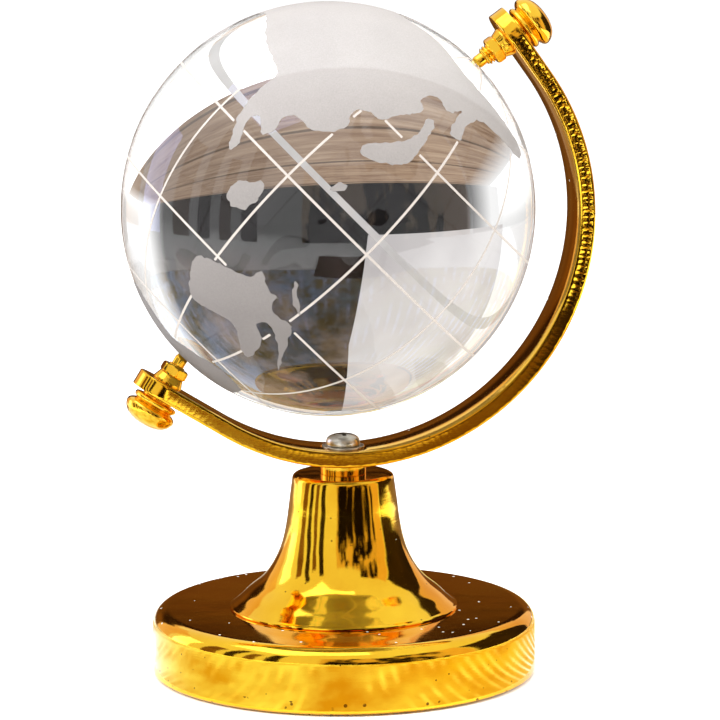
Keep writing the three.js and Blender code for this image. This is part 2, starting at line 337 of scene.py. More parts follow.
def finish_mesh(name, verts, faces, material, sharp=SHARP_ANGLE):
    """A mesh object from millimetre points, smooth except across sharp edges."""
    mesh = bpy.data.meshes.new(name)
    mesh.from_pydata([tuple(v * MM for v in p) for p in verts], [], faces)
    mesh.validate()
    bm = bmesh.new()
    bm.from_mesh(mesh)
    bmesh.ops.remove_doubles(bm, verts=bm.verts, dist=1e-8)
    bmesh.ops.recalc_face_normals(bm, faces=bm.faces)
    bm.to_mesh(mesh)
    bm.free()
    mesh.shade_smooth()
    mesh.set_sharp_from_angle(angle=math.radians(sharp))
    mesh.materials.append(material)
    return add_object(name, mesh)


def rounded(profile, radius, steps=4):
    """The [r, z] profile with each inner corner rounded by up to this radius."""
    out = [profile[0]]
    for before, here, after in zip(profile, profile[1:], profile[2:]):
        a, b, c = (Vector((*p, 0.0)) for p in (before, here, after))
        reach = min(radius, (a - b).length * 0.45, (c - b).length * 0.45)
        start = b + (a - b).normalized() * reach
        end = b + (c - b).normalized() * reach
        for i in range(steps + 1):
            t = i / steps
            p = start * (1 - t) ** 2 + b * 2 * t * (1 - t) + end * t ** 2
            out.append([p.x, p.y])
    out.append(profile[-1])
    return out


def between(p, t):
    """The point at share t from p[1] to p[2] on a smooth curve through four points."""
    return 0.5 * (
        2 * p[1]
        + (p[2] - p[0]) * t
        + (2 * p[0] - 5 * p[1] + 4 * p[2] - p[3]) * t * t
        + (3 * p[1] - 3 * p[2] + p[3] - p[0]) * t ** 3
    )


def flowing(profile, steps=6):
    """A smooth curve through [r, z] points."""
    last = len(profile) - 1
    out = []
    for i in range(last):
        p = [Vector((*profile[min(max(k, 0), last)], 0.0)) for k in (i - 1, i, i + 1, i + 2)]
        for s in range(steps):
            q = between(p, s / steps)
            out.append([q.x, q.y])
    out.append(list(profile[-1]))
    return out


def frame_of(start, along):
    """A function that gives the point at radius r, angle a and distance z along an axis."""
    turn = UP.rotation_difference(along)

    def at(r, a, z):
        return start + turn @ Vector((r * math.cos(a), r * math.sin(a), z))

    return at


def turned(name, profile, material, start=ORIGIN, along=UP, segments=128, sharp=SHARP_ANGLE):
    """A turned solid. The profile closes on itself, or starts and ends on the axis."""
    at = frame_of(start, along)
    closed = (Vector(profile[0]) - Vector(profile[-1])).length < 1e-6
    ring = profile[:-1] if closed else profile
    verts = []
    index = []
    for r, z in ring:
        if r < 1e-6:
            index.append([len(verts)] * segments)
            verts.append(at(0.0, 0.0, z))
            continue
        index.append(range(len(verts), len(verts) + segments))
        verts.extend(at(r, 2 * math.pi * k / segments, z) for k in range(segments))
    faces = []
    rows = len(ring)
    for i in range(rows if closed else rows - 1):
        low, high = index[i], index[(i + 1) % rows]
        for k in range(segments):
            quad = [low[k], low[(k + 1) % segments], high[(k + 1) % segments], high[k]]
            face = list(dict.fromkeys(quad))
            if len(face) > 2:
                faces.append(face)
    return finish_mesh(name, verts, faces, material, sharp)


def place(obj, body, slot, *replaced):
    """Makes a piece ride on a body and stand for CAD nodes, which it hides. The slot is not used."""
    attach(obj, body)
    if replaced:
        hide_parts(*replaced)


def carve(obj, *cutters):
    """Cuts the cutters out of the object and removes them."""
    for cutter in cutters:
        cut = obj.modifiers.new("cut", "BOOLEAN")
        cut.operation = "DIFFERENCE"
        cut.solver = "EXACT"
        cut.object = cutter
        bpy.context.view_layer.objects.active = obj
        bpy.ops.object.modifier_apply(modifier=cut.name)
        bpy.data.objects.remove(cutter)
    obj.data.shade_smooth()
    obj.data.set_sharp_from_angle(angle=math.radians(SHARP_ANGLE))


# ---------------------------------------------------------------- base and pedestal

pad = turned("felt_pad", rounded([
    [0, 0], [26.1, 0.02], [26.4, 0.3], [26.4, 1.4], [0, 1.4],
], 0.25), mat_felt, segments=160)
place(pad, "stand", "pad_felt", "base_pad")

base_profile = [[SKIRT_BORE, 0.3], [27.7, 0.3], [28.0, 0.55], [BASE_RADIUS, 1.0], [BASE_RADIUS, 7.3]]
for i in range(1, BASE_ROUND_STEPS):
    a = math.radians(90 * i / BASE_ROUND_STEPS)
    reach = BASE_RADIUS - BASE_ROUND + BASE_ROUND * math.cos(a)
    base_profile.append([reach, BASE_TOP - BASE_ROUND + BASE_ROUND * math.sin(a)])
base_profile += [
    [25.5, BASE_TOP], [16.0, BASE_TOP], [BASE_BORE, BASE_TOP], [BASE_BORE, BASE_TOP - BASE_GAUGE],
    [25.5, BASE_TOP - BASE_GAUGE], [SKIRT_BORE, 7.3], [SKIRT_BORE, 0.3],
]
base = turned("gilt_base", base_profile, mat_base, segments=256)
place(base, "stand", "gold_plate", "base_shell")

trumpet = flowing([
    [16.3, 10.35], [15.2, 11.25], [14.05, 12.3], [12.2, 13.8], [10.95, 15.3], [10.0, 16.9], [9.15, 18.9],
    [8.55, 21.2], [8.15, 23.6], [7.85, 26.0], [7.55, 28.2],
])
pedestal_profile = (
    [[15.1, BASE_TOP], [16.5, BASE_TOP], [16.66, 9.95], [16.64, 10.12], [16.5, 10.25]]
    + trumpet
    + rounded([[7.5, 28.6], [7.38, 29.4], [6.75, PEDESTAL_TOP], [SCREW_HOLE, PEDESTAL_TOP]], 0.5, 6)
    + [[SCREW_HOLE, 28.0], [6.2, 28.0], [6.75, 23.4], [7.3, 20.6], [8.6, 17.2], [10.6, 14.1]]
    + [[15.1, BASE_TOP]]
)
pedestal = turned("gilt_pedestal", pedestal_profile, mat_pedestal, segments=224)
place(pedestal, "stand", "gold_plate", "pedestal_shell")

# ---------------------------------------------------------------- bow

axis = radial(AXIS_SLOPE)


class Pivot:
    """Where one pivot screw stands: its direction, and its place along the strip's straight end."""

    def __init__(self, tangent, side):
        self.outward = radial(tangent)
        self.along = radial(tangent + 90) * side
        point = BALL_CENTRE + axis * side * PIVOT_REACH
        self.run = (point - BOW_CENTRE).dot(self.along)
        self.reach = (point - BOW_CENTRE).dot(self.outward)

    def at(self, reach):
        return BOW_CENTRE + self.along * self.run + self.outward * reach


upper = Pivot(UPPER_TANGENT, 1)
lower = Pivot(LOWER_TANGENT, -1)


def straight_end(pivot):
    """Stations along a straight end and round its tip, going out from the bend."""
    count = round(pivot.run / BOW_STEP)
    runs = [(pivot.run * (i + 1) / count, HALF) for i in range(count)]
    for i in range(1, 25):
        t = math.radians(90 * i / 24.6)
        runs.append((pivot.run + HALF * math.sin(t), HALF * math.cos(t)))
    return [(pivot.along * run, pivot.outward, half) for run, half in runs]


def bow_stations():
    """Points along the strip: offset from the bow centre, outward direction, half width and distance."""
    sweep = UPPER_TANGENT - LOWER_TANGENT
    count = round(math.radians(sweep) * BOW_MIDDLE / BOW_STEP)
    bend = [(ORIGIN, radial(LOWER_TANGENT + sweep * i / count), HALF) for i in range(count + 1)]
    out = []
    distance = 0.0
    last = None
    for shift, outward, half in straight_end(lower)[::-1] + bend + straight_end(upper):
        middle = shift + outward * BOW_MIDDLE
        distance += 0.0 if last is None else (middle - last).length
        last = middle
        out.append((shift, outward, half, distance))
    return out


def chatter(distance, total, phase):
    """Depth of the punch chatter on a side face: uneven ribs, strong near the ends and weak low down."""
    share = distance / total
    strong = min(1.0, max(0.0, (share - 0.6) / 0.1)) * min(1.0, max(0.0, (1.02 - share) / 0.1))
    strength = 0.03 + 0.05 * (1.0 + math.sin(distance * 0.31)) * 0.5 + 0.85 * strong
    wave = math.sin(distance * 7.6 + 1.9 * math.sin(distance * 0.9 + phase) + phase)
    second = math.sin(distance * 13.3 + 2.3 * math.sin(distance * 0.37) + phase * 2)
    ridge = max(0.0, wave * 0.75 + second * 0.35) ** 1.6
    return CHATTER_DEPTH * strength * (1.0 - min(1.0, ridge))


stations = bow_stations()
total_run = stations[-1][3]
bow_verts = []
for shift, outward, half, distance in stations:
    scale = min(1.0, half / 1.2)
    bevel = BEVEL * scale
    front = chatter(distance, total_run, 0.4) * scale
    back = chatter(distance, total_run, 2.9) * scale
    wobble = 0.05 * math.sin(distance * 2.1) + 0.04 * math.sin(distance * 5.3)
    front_lip, back_lip = CUT_IN + wobble, CUT_IN - wobble
    inner_edge, outer_edge = BOW_INNER + bevel * 0.3, BOW_OUTER - bevel * 0.3
    section = [
        (BOW_INNER, half - bevel), (BOW_INNER, 0.0), (BOW_INNER, -half + bevel),
        (inner_edge, -half + bevel * 0.3), (BOW_INNER + bevel, -half),
        (BOW_INNER + front_lip, -half), (BOW_INNER + front_lip + 0.1, -half + front),
        (BOW_MIDDLE, -half + front * 1.1), (BOW_OUTER - front_lip - 0.1, -half + front),
        (BOW_OUTER - front_lip, -half), (BOW_OUTER - bevel, -half),
        (outer_edge, -half + bevel * 0.3), (BOW_OUTER, -half + bevel),
        (BOW_OUTER, 0.0), (BOW_OUTER, half - bevel), (outer_edge, half - bevel * 0.3),
        (BOW_OUTER - bevel, half), (BOW_OUTER - back_lip, half),
        (BOW_OUTER - back_lip - 0.1, half - back),
        (BOW_MIDDLE, half - back * 1.1), (BOW_INNER + back_lip + 0.1, half - back),
        (BOW_INNER + back_lip, half), (BOW_INNER + bevel, half), (inner_edge, half - bevel * 0.3),
    ]
    for reach, y in section:
        p = BOW_CENTRE + shift + outward * reach
        bow_verts.append((p.x, y, p.z))
count = len(section)
bow_faces = []
for i in range(len(stations) - 1):
    for j in range(count):
        k = (j + 1) % count
        bow_faces.append([i * count + j, i * count + k, (i + 1) * count + k, (i + 1) * count + j])
bow_faces.append(list(range(count)))
bow_faces.append([(len(stations) - 1) * count + j for j in range(count)][::-1])
bow = finish_mesh("gilt_bow", bow_verts, bow_faces, mat_bow, 24)


def cylinder(radius, low, high, start, along, segments=64):
    """A cutter for carve()."""
    outline = [[0, low], [radius, low], [radius, high], [0, high]]
    return turned("cutter", outline, mat_bow, start, along, segments)


carve(
    bow,
    cylinder(PIN_HOLE, -3, 6, upper.at(BOW_INNER), upper.outward),
    cylinder(PIN_HOLE, -3, 6, lower.at(BOW_INNER), lower.outward),
    cylinder(SCREW_HOLE, -6, 3, UP * SCREW_SEAT, UP),
    cylinder(WASHER_RADIUS + 0.2, 0, 3, UP * SCREW_SEAT, UP),
)
place(bow, "stand", "gold_plate", "bow_arm")

# ---------------------------------------------------------------- bow screw, washer, spacer


def ring_profile(bore, radius, low, high, corner):
    """The outline of a plain ring with its corners rounded."""
    outline = [[bore, low], [radius, low], [radius, high], [bore, high], [bore, low]]
    return rounded(outline, corner, 3)


spacer_profile = ring_profile(SCREW_HOLE, SPACER_RADIUS, PEDESTAL_TOP, PEDESTAL_TOP + SPACER_HEIGHT, 0.12)
spacer = turned("saddle_spacer", spacer_profile, mat_turned, segments=96)
carve(spacer, cylinder(BOW_OUTER + 0.02, -8, 8, BOW_CENTRE, Vector((0, 1, 0)), 360))
place(spacer, "stand", "gold_brass", "bow_spacer")

washer_profile = ring_profile(SCREW_HOLE, WASHER_RADIUS, SCREW_SEAT, HEAD_SEAT, 0.1)
washer = turned("screw_washer", washer_profile, mat_steel, segments=72)
place(washer, "stand", "plain_steel", "bow_screw_washer")


def threaded(name, low, high, material, start, along):
    """A rod with a right-hand thread that fades out at both ends."""
    at = frame_of(start, along)
    segments = 36
    rows = round((high - low) / THREAD_PITCH * 7)
    verts = []
    for i in range(rows + 1):
        z = low + (high - low) * i / rows
        fade = max(0.0, min(1.0, (z - low) / 0.3, (high - z) / 0.3))
        for k in range(segments):
            phase = (z / THREAD_PITCH - k / segments) % 1.0
            ridge = min(1.0, max(0.0, 1.6 * (1.0 - abs(2.0 * phase - 1.0)) - 0.2))
            r = PIN_RADIUS - THREAD_DEPTH * (1.0 - ridge * fade)
            verts.append(at(r, 2 * math.pi * k / segments, z))
    faces = []
    for i in range(rows):
        for k in range(segments):
            j = (k + 1) % segments
            faces.append([i * segments + k, i * segments + j, (i + 1) * segments + j, (i + 1) * segments + k])
    faces.append(list(range(segments))[::-1])
    faces.append([rows * segments + k for k in range(segments)])
    return finish_mesh(name, verts, faces, material, 50)


bow_screw = turned("pan_head_screw", rounded([
    [0, 22.6], [1.1, 22.6], [PIN_RADIUS, 23.0], [PIN_RADIUS, HEAD_SEAT], [2.5, HEAD_SEAT],
    [2.5, HEAD_SEAT + 0.7], [2.3, HEAD_SEAT + 1.15], [1.8, HEAD_SEAT + 1.5], [1.0, HEAD_SEAT + 1.7],
    [0, HEAD_SEAT + 1.75],
], 0.3, 3), mat_steel, segments=72)


def block(size, centre):
    """A cutter for carve()."""
    mesh = bpy.data.meshes.new("cutter")
    bm = bmesh.new()
    bmesh.ops.create_cube(bm, size=1.0)
    for v in bm.verts:
        v.co = Vector([c * s * MM for c, s in zip(v.co, size)]) + Vector(centre) * MM
    bm.to_mesh(mesh)
    bm.free()
    return add_object("cutter", mesh)


cross_at = (0, 0, HEAD_SEAT + 1.7)
carve(bow_screw, block((2.8, 0.6, 1.6), cross_at), block((0.6, 2.8, 1.6), cross_at))
place(bow_screw, "stand", "plain_steel", "bow_screw")

# ---------------------------------------------------------------- pivot screws


def hex_nut(name, start, along):
    """A nut whose faces are chamfered at both ends; each row is a ring of points."""
    at = frame_of(start, along)
    flats = NUT_FLATS / 2
    sides = 72
    outer = [(0.0, flats - 0.02), (0.12, flats + 0.16), (0.3, flats + 0.6)]
    verts = []
    for z, cone in outer + [(NUT_HEIGHT - z, cone) for z, cone in outer[::-1]]:
        for k in range(sides):
            a = 2 * math.pi * k / sides
            wedge = (a + math.pi / 6) % (math.pi / 3) - math.pi / 6
            verts.append(at(min(flats / math.cos(wedge), cone), a, z))
    for z in (NUT_HEIGHT, 0.0):
        verts.extend(at(PIN_HOLE, 2 * math.pi * k / sides, z) for k in range(sides))
    faces = []
    for low in range(0, len(verts), sides):
        high = (low + sides) % len(verts)
        for k in range(sides):
            j = (k + 1) % sides
            faces.append([low + k, low + j, high + j, high + k])
    return finish_mesh(name, verts, faces, mat_turned, 20)


def pivot_pieces(prefix, pivot):
    """Collar, nut, swivel tip, threaded rod and knob of one pivot screw."""
    nut_top = BOW_INNER - COLLAR_HEIGHT
    tip_back = pivot.reach + TIP_LENGTH
    foot = BOW_OUTER + KNOB_GAP
    top = foot + KNOB_HEIGHT
    rod_end = foot + ROD_INTO_KNOB
    bore = PIN_RADIUS + 0.02
    collar = turned(f"{prefix}_turned_collar", rounded([
        [PIN_HOLE, 0], [1.85, 0], [2.0, 0.45], [2.25, COLLAR_HEIGHT - 0.35], [2.25, COLLAR_HEIGHT],
        [PIN_HOLE, COLLAR_HEIGHT], [PIN_HOLE, 0],
    ], 0.12, 3), mat_turned, pivot.at(nut_top), pivot.outward, 72)
    place(collar, "stand", "gold_brass", f"{prefix}_cone_collar")
    nut = hex_nut(f"{prefix}_hex_nut", pivot.at(nut_top - NUT_HEIGHT), pivot.outward)
    place(nut, "stand", "gold_brass", f"{prefix}_lock_nut")
    tip = turned(f"{prefix}_swivel_tip", rounded([
        [0, 0], [0.28, 0.05], [0.5, 0.28], [TIP_RADIUS, 1.5], [TIP_RADIUS, TIP_LENGTH], [0, TIP_LENGTH],
    ], 0.12, 3), mat_turned, pivot.at(pivot.reach), pivot.outward, 48)
    place(tip, f"{prefix}_tip", "tip_nylon", f"{prefix}_pivot_tip")
    rod = threaded(f"{prefix}_threaded_rod", tip_back, rod_end, mat_turned, pivot.at(0), pivot.outward)
    place(rod, f"{prefix}_screw", "gold_brass", f"{prefix}_pivot_rod")
    knob = turned(f"{prefix}_mushroom_knob", rounded([
        [bore, foot], [2.3, foot], [2.3, foot + 0.3], [3.2, foot + 0.4], [3.35, foot + 0.7],
        [3.2, foot + 1.1], [2.75, foot + 1.3], [3.3, foot + 1.5], [3.75, foot + 1.85], [KNOB_RADIUS, foot + 2.3],
        [3.6, foot + 3.0], [3.05, foot + 3.65], [2.2, foot + 4.1], [1.2, foot + 4.35], [0, top],
    ], 0.5, 4) + [[0, rod_end + 0.05], [bore, rod_end + 0.05], [bore, foot]],
        mat_turned, pivot.at(0), pivot.outward, 96, 40)
    place(knob, f"{prefix}_screw", "gold_brass", f"{prefix}_knob")


pivot_pieces("upper", upper)
pivot_pieces("lower", lower)

# ---------------------------------------------------------------- ball

mouth = math.asin(DIMPLE_RADIUS / BALL_RADIUS)
dimple = [[0, BALL_RADIUS - DIMPLE_DEPTH], [DIMPLE_RADIUS / 2, BALL_RADIUS - DIMPLE_DEPTH / 2]]
ball_profile = [[r, -z] for r, z in dimple]
for i in range(121):
    a = mouth + (math.pi - 2 * mouth) * i / 120
    ball_profile.append([BALL_RADIUS * math.sin(a), -BALL_RADIUS * math.cos(a)])
ball_profile += dimple[::-1]
ball = turned("polished_ball", ball_profile, mat_crystal, BALL_CENTRE, axis, 192, 25)
ball.data.materials.append(mat_ground)
for face in ball.data.polygons:
    offset = face.center / MM - BALL_CENTRE
    away = (offset - axis * offset.dot(axis)).length
    if away < DIMPLE_RADIUS * 0.97:
        face.material_index = 1
place(ball, "globe", "crystal", "crystal_ball")

FRONT = Vector((0, -1, 0))
EAST = axis.cross(FRONT)


def on_ball(lat, lon):
    """The unit vector of a place on the ball: latitude from its turning axis, longitude from the front."""
    a, b = math.radians(lat), math.radians(lon)
    return axis * math.sin(a) + (FRONT * math.cos(b) + EAST * math.sin(b)) * math.cos(a)


def coast(points, steps=8):
    """A closed coastline through [lat, lon] places, smoothed and then broken into small bays."""
    places = [on_ball(*p) for p in points]
    out = []
    for i in range(len(places)):
        p = [places[(i + k) % len(places)] for k in (-1, 0, 1, 2)]
        for s in range(steps):
            q = between(p, s / steps)
            bay = noise.noise_vector(q * 34.0) * 0.010 + noise.noise_vector(q * 80.0) * 0.005
            out.append((q.normalized() + bay).normalized())
    return out


def inside(x, y, ring):
    """Whether a point lies inside a flat closed outline."""
    hit = False
    for (ax, ay), (bx, by) in zip(ring, ring[1:] + ring[:1]):
        if (ay > y) != (by > y) and x < (bx - ax) * (y - ay) / (by - ay) + ax:
            hit = not hit
    return hit


coasts = []


def on_land(spot):
    """Whether a unit vector on the ball points at land."""
    return any(inside(*flat(spot), ring) for flat, ring in coasts)


def frost_patch(verts, faces, outline):
    """Adds a thin closed coat in the shape of a coastline, lying on the ball's surface."""
    ring3 = coast(outline)
    centre = sum(ring3, Vector((0, 0, 0))).normalized()
    side = centre.orthogonal().normalized()
    other = centre.cross(side)

    def flat(v):
        angle = math.degrees(math.acos(max(-1.0, min(1.0, v.dot(centre)))))
        x, y = v.dot(side), v.dot(other)
        size = math.hypot(x, y) or 1.0
        return (angle * x / size, angle * y / size)

    def round_again(p):
        angle = math.hypot(p[0], p[1])
        if angle < 1e-9:
            return centre.copy()
        a = math.radians(angle)
        return centre * math.cos(a) + (side * p[0] + other * p[1]) * (math.sin(a) / angle)

    ring = [flat(v) for v in ring3]
    coasts.append((flat, ring))
    points = [Vector(p) for p in ring]
    edges = [(i, (i + 1) % len(ring)) for i in range(len(ring))]
    xs = [p[0] for p in ring]
    ys = [p[1] for p in ring]
    row = 0
    y = min(ys)
    while y < max(ys):
        x = min(xs) + (COAT_SPACING / 2 if row % 2 else 0)
        while x < max(xs):
            clear = min(math.hypot(x - a, y - b) for a, b in ring) > COAT_SPACING * 0.55
            if clear and inside(x, y, ring):
                points.append(Vector((x, y)))
            x += COAT_SPACING
        y += COAT_SPACING * 0.87
        row += 1
    made, _, tris, *_ = delaunay_2d_cdt(points, edges, [], 1, 1e-6)
    first = len(verts)
    size = len(made)
    for radius in (BALL_RADIUS + COAT_LIFT, BALL_RADIUS + COAT_GAP):
        verts.extend(BALL_CENTRE + round_again(p) * radius for p in made)
    used = {}
    for t in tris:
        faces.append([first + i for i in t])
        faces.append([first + size + i for i in reversed(t)])
        for a, b in zip(t, t[1:] + t[:1]):
            used[(a, b)] = True
    for a, b in used:
        if (b, a) not in used:
            faces.append([first + b, first + a, first + size + a, first + size + b])


# Coastlines as [latitude, longitude] on the ball, longitude 0 facing the front.
EURASIA = [
    (17, -60), (15, -54), (9, -53), (2, -52), (-5, -49), (-9, -46), (-6, -45), (0, -48), (3, -46), (0, -42),
    (3, -40), (7, -41), (10, -38), (10, -33), (14, -28), (18, -27), (22, -29), (25, -26), (26, -22),
    (31, -19),
    (37, -15), (40, -18), (44, -17), (45, -13), (44, -8), (48, -4), (43, -4), (39, -3), (40, 2), (44, 1),
    (51, 5), (53, 20), (53, 36), (57, 40), (61, 20), (63, -10), (67, -45), (64, -75), (62, -105), (65, -125),
    (57, -142), (47, -154), (40, -158), (35, -156), (40, -146), (42, -138), (34, -134), (40, -128),
    (34, -122),
    (32, -113), (24, -115), (6, -107), (5, -103), (13, -92), (19, -100), (23, -101), (26, -92), (24, -80),
    (20, -70),
]
AUSTRALIA = [
    (-41, -35), (-37, -34), (-34, -25), (-31, -17), (-27, -15), (-29, -10), (-29, -6), (-27, -4), (-30, -6),
    (-33, -4), (-33, 0), (-32, 4), (-36, 8), (-44, 16), (-46, 18), (-39, 6), (-37, -1), (-40, -3), (-43, 3),
    (-50, 7), (-51, 3), (-46, -8), (-48, -18), (-50, -28), (-47, -32),
]
JAPAN = [
    (15, -17), (17, -20), (22, -16), (28, -12), (32, -11), (36, -12), (38, -10), (35, -8), (32, -8), (28, -7),
    (24, -7), (19, -10),
]
BORNEO = [(-19, -37), (-16, -38), (-13, -37), (-11, -34), (-9, -32), (-11, -30), (-15, -30), (-19, -32)]
SLIVER = [(-22, -6), (-24, -5), (-27, -1), (-28, 3), (-26, 0), (-24, -3)]
ISLET = [(2, -17), (5, -17), (6, -15), (4, -15)]
AFRICA = [
    (35, -156), (36, -140), (30, -125), (26, -118), (12, -108), (10, -100), (-5, -110), (-20, -116),
    (-34, -125),
    (-34, -132), (-18, -138), (4, -141), (5, -155), (15, -167), (28, -163),
]
MADAGASCAR = [(-13, -101), (-24, -103), (-25, -106), (-16, -106)]
NORTH_AMERICA = [
    (66, 45), (60, 48), (59, 70), (49, 85), (34, 90), (23, 100), (16, 112), (9, 126), (18, 122), (22, 120),
    (30, 113), (30, 128), (26, 130), (35, 134), (45, 145), (47, 157), (60, 146), (61, 132), (52, 130),
    (60, 115),
    (68, 110), (70, 80),
]
SOUTH_AMERICA = [
    (9, 128), (12, 136), (6, 144), (-6, 148), (-17, 152), (-22, 160), (-28, 160), (-34, 155), (-41, 147),
    (-54, 142), (-46, 136), (-30, 139), (-18, 140), (-5, 129),
]
GREENLAND = [(60, 166), (70, 154), (78, 150), (82, 170), (76, -170), (69, 178)]
ANTARCTICA = [(-70 - 5 * math.sin(k * 1.3), k * 24 - 180) for k in range(15)]

land_verts = []
land_faces = []
for outline in (
    EURASIA, AUSTRALIA, JAPAN, BORNEO, SLIVER, ISLET, AFRICA, MADAGASCAR, NORTH_AMERICA, SOUTH_AMERICA,
    GREENLAND, ANTARCTICA,
):
    frost_patch(land_verts, land_faces, outline)


land = finish_mesh("frosted_land", land_verts, land_faces, mat_land, 40)
place(land, "globe", "crystal")

map_turn = Quaternion(on_ball(0, 75), math.radians(MAP_LEAN))
line_verts = []
line_faces = []


def cut_line(path, lift):
    """Adds a thin closed ribbon along a path of unit vectors on the ball."""
    first = len(line_verts)
    last = len(path) - 1
    for i, here in enumerate(path):
        course = path[min(i + 1, last)] - path[max(i - 1, 0)]
        across = here.cross(course).normalized() * (LINE_WIDTH / 2)
        for radius, sign in ((lift, 1), (lift, -1), (LINE_GAP, -1), (LINE_GAP, 1)):
            line_verts.append(BALL_CENTRE + here * (BALL_RADIUS + radius) + across * sign)
    for a in range(first, first + last * 4, 4):
        for j in range(4):
            k = (j + 1) % 4
            line_faces.append([a + j, a + k, a + 4 + k, a + 4 + j])
    line_faces.append([first + j for j in range(4)])
    line_faces.append([first + last * 4 + j for j in range(4)][::-1])


def cut_at_sea(path, lift):
    """Adds the stretches of a path that don't cross land."""
    stretch = []
    for here in path + [None]:
        if here is not None and not on_land(here):
            stretch.append(here)
            continue
        if len(stretch) > 2:
            cut_line(stretch, lift)
        stretch = []


for lat in (-60, -30, 0, 30, 60):
    cut_at_sea([map_turn @ on_ball(lat, lon * 1.5) for lon in range(241)], PARALLEL_LIFT)
for step in range(12):
    meridian = FIRST_MERIDIAN + step * 30
    cut_at_sea([map_turn @ on_ball(lat * 1.5, meridian) for lat in range(-56, 57)], MERIDIAN_LIFT)
lines = finish_mesh("cut_map_lines", line_verts, line_faces, mat_line, 40)
# The lines' inward faces take the painted glow of light coming through the coat.
lines.data.materials.append(mat_coat_back)
for face in lines.data.polygons:
    if face.normal.dot(face.center / MM - BALL_CENTRE) < 0:
        face.material_index = 1
place(lines, "globe", "crystal")

# ---------------------------------------------------------------- hidden CAD pieces

for name, material in (
    ("base_weight", mat_iron),
    ("base_screw", mat_steel),
    ("base_screw_washer", mat_steel),
    ("pedestal_core", mat_core),
):
    for slot in nodes[name].material_slots:
        slot.material = material

# ---------------------------------------------------------------- stage


def emissive(name, build):
    """A material that glows with the colour that build() makes."""
    n = Nodes(name)
    glow = n.add("ShaderNodeEmission", {"Color": build(n), "Strength": 1.0})
    n.tree.links.new(glow.outputs[0], n.output.inputs[0])
    return n.material


def card(name, corners, material, glossy=True, through=True):
    """A stage card that shows only in reflections (glossy) or through the crystal."""
    mesh = bpy.data.meshes.new(name)
    quads = [[i, i + 1, i + 3, i + 2] for i in range(0, len(corners) - 2, 2)]
    mesh.from_pydata([Vector(c) * MM for c in corners], [], quads)
    mesh.materials.append(material)
    obj = add_object(name, mesh)
    obj.visible_camera = False
    obj.visible_diffuse = False
    obj.visible_shadow = False
    obj.visible_volume_scatter = False
    obj.visible_glossy = glossy
    obj.visible_transmission = through
    obj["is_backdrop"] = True


CAMERA_SIDE = math.degrees(math.atan2(CAMERA_AT.y, CAMERA_AT.x))


def curved_card(name, low, high, top, radius, material):
    """An upright reflection card between two bearings; 0 is the camera's side, and + is to its right."""
    corners = []
    steps = max(2, round((high - low) / 5))
    for i in range(steps + 1):
        a = math.radians(CAMERA_SIDE + low + (high - low) * i / steps)
        for z in (0, top):
            corners.append((radius * math.cos(a), radius * math.sin(a), z))
    card(name, corners, material, True, False)


def faded(n, colour, side):
    """The colour, running out into white at both ends of a card."""
    ends = n.math("MAXIMUM", n.ramp(side, -0.085, -0.14), n.ramp(side, 0.34, 0.47))
    return n.mix(ends, colour, (1.0, 1.0, 1.0, 1))


def planks(n):
    """A plank table with dark seams."""
    grain = n.noise(16, 8, 0.65, (1, 9, 1))
    side, where, _ = n.xyz()
    board = n.math("FRACT", n.math("MULTIPLY", where, 17.0))
    seam = n.math("LESS_THAN", board, 0.06)
    colour = n.mix(n.ramp(grain, 0.35, 0.65), (0.25, 0.15, 0.095, 1), (0.50, 0.36, 0.25, 1))
    shaded = n.mix(0.35, colour, (0.06, 0.045, 0.035, 1))
    colour = n.mix(n.ramp(side, 0.02, 0.12), colour, shaded)
    colour = n.mix(n.math("MULTIPLY", seam, 0.75), colour, (0.07, 0.045, 0.03, 1))
    return faded(n, colour, side)


def dark_room(n):
    """A dark room with dim brown shapes higher up."""
    patch = n.noise(9, 5, 0.65)
    side, _, height = n.xyz()
    low = n.mix(n.ramp(patch, 0.4, 0.7), (0.004, 0.004, 0.004, 1), (0.018, 0.015, 0.018, 1))
    high = n.mix(n.ramp(patch, 0.42, 0.62), (0.012, 0.007, 0.006, 1), (0.19, 0.135, 0.11, 1))
    return faded(n, n.mix(n.ramp(height, 0.05, 0.16), low, high), side)


def pale_board(n):
    """A pale board that leans in the dark room."""
    patch = n.noise(7, 3, 0.5)
    return n.mix(n.ramp(patch, 0.35, 0.65), (0.56, 0.53, 0.53, 1), (0.80, 0.77, 0.76, 1))


def umber_wall(n):
    """The brown that the base's top mirrors."""
    height = n.xyz()[2]
    low = n.mix(n.noise(10, 4), (0.045, 0.014, 0.002, 1), (0.27, 0.11, 0.02, 1))
    return n.mix(n.ramp(height, 0.075, 0.1), low, (0.03, 0.012, 0.003, 1))


def brown_blotches(n):
    """Dark and tan shapes that the pedestal's front mirrors."""
    patch = n.noise(11, 5, 0.6, (1, 1, 0.45))
    height = n.xyz()[2]
    lifted = n.math("ADD", patch, n.ramp(height, 0.03, 0.16, -0.07, 0.03))
    return n.mix(n.ramp(lifted, 0.48, 0.53), (0.010, 0.006, 0.004, 1), (0.85, 0.62, 0.42, 1))


def warm_paper(n):
    """Paper round the base as a glowing card of painted light, brighter and bluer on its left and orange on its
    right, with soft radial rays of light thrown back by the gold.
    """
    x, y, _ = n.xyz()
    turn = n.math("ARCTAN2", y, x)
    rays = n.math("SINE", n.math("MULTIPLY", turn, 58.0))
    patch = n.noise(40, 4, 0.6)
    share = n.math("MULTIPLY", n.ramp(rays, 0.1, 0.9), n.ramp(patch, 0.45, 0.6))
    cloud = n.noise(34, 5, 0.65)
    # Painted light: the paper's left side glows brighter and bluer than its right.
    left = n.mix(n.ramp(cloud, 0.38, 0.6), (0.88, 0.68, 0.2, 1), (1.25, 1.6, 2.2, 1))
    right = n.mix(n.ramp(cloud, 0.38, 0.62), (0.86, 0.5, 0.08, 1), (1.15, 1.0, 0.3, 1))
    base = n.mix(n.ramp(x, -0.03, 0.03), left, right)
    return n.mix(share, base, (1.6, 1.7, 2.2, 1))


